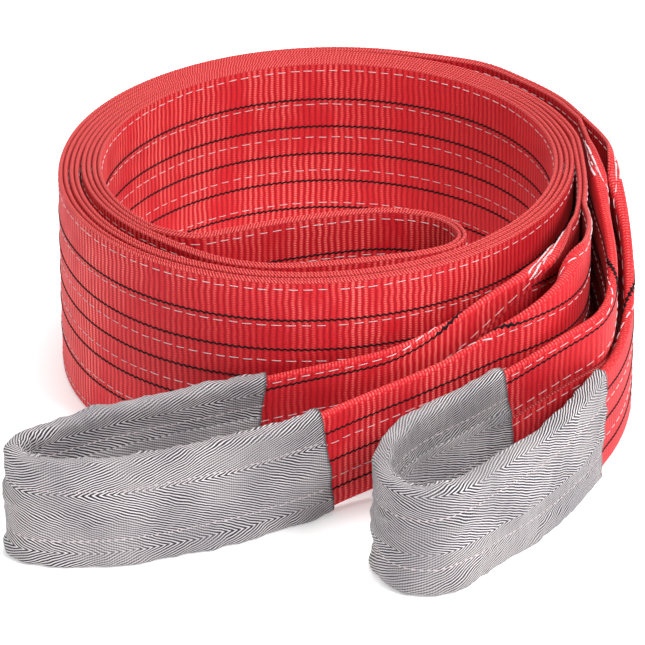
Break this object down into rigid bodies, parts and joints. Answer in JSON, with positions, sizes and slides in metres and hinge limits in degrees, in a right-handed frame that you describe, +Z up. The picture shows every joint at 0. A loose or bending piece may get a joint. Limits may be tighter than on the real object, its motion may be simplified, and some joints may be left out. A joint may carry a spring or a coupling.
{
  "type": "flat web sling",
  "caption": "Flat duplex polyester web sling with folded eyes in grey twill sleeves, doubled at its middle and lying coiled on its edge.",
  "frame": {"origin": "on the floor, under the middle of the bounding box of the whole coiled sling", "axes": "+Z up along the web's width; +Y from the two eyes, at the front, towards the back of the coil, the longest way; +X from the left eye towards the right eye"},
  "size_m": [0.4338, 0.5618, 0.15],
  "materials": {
    "red_polyester_webbing": "woven polyester webbing, matt, with black marker threads and white lockstitch rows",
    "grey_sleeve_cloth": "black and white herringbone twill, matt"
  },
  "bodies": {
    "root": {"middle_loop_inside_ply": "red_polyester_webbing", "middle_loop_outside_ply": "red_polyester_webbing", "left_half_first_turn_inner_ply": "red_polyester_webbing", "left_half_first_turn_outer_ply": "red_polyester_webbing", "left_half_second_turn_inner_ply": "red_polyester_webbing", "left_half_second_turn_outer_ply": "red_polyester_webbing", "right_half_first_turn_inner_ply": "red_polyester_webbing", "right_half_first_turn_outer_ply": "red_polyester_webbing", "right_half_second_turn_inner_ply": "red_polyester_webbing", "right_half_second_turn_outer_ply": "red_polyester_webbing", "left_eye_web": "red_polyester_webbing", "right_eye_web": "red_polyester_webbing", "left_eye_sleeve": "grey_sleeve_cloth", "right_eye_sleeve": "grey_sleeve_cloth"}
  },
  "joints": []
}
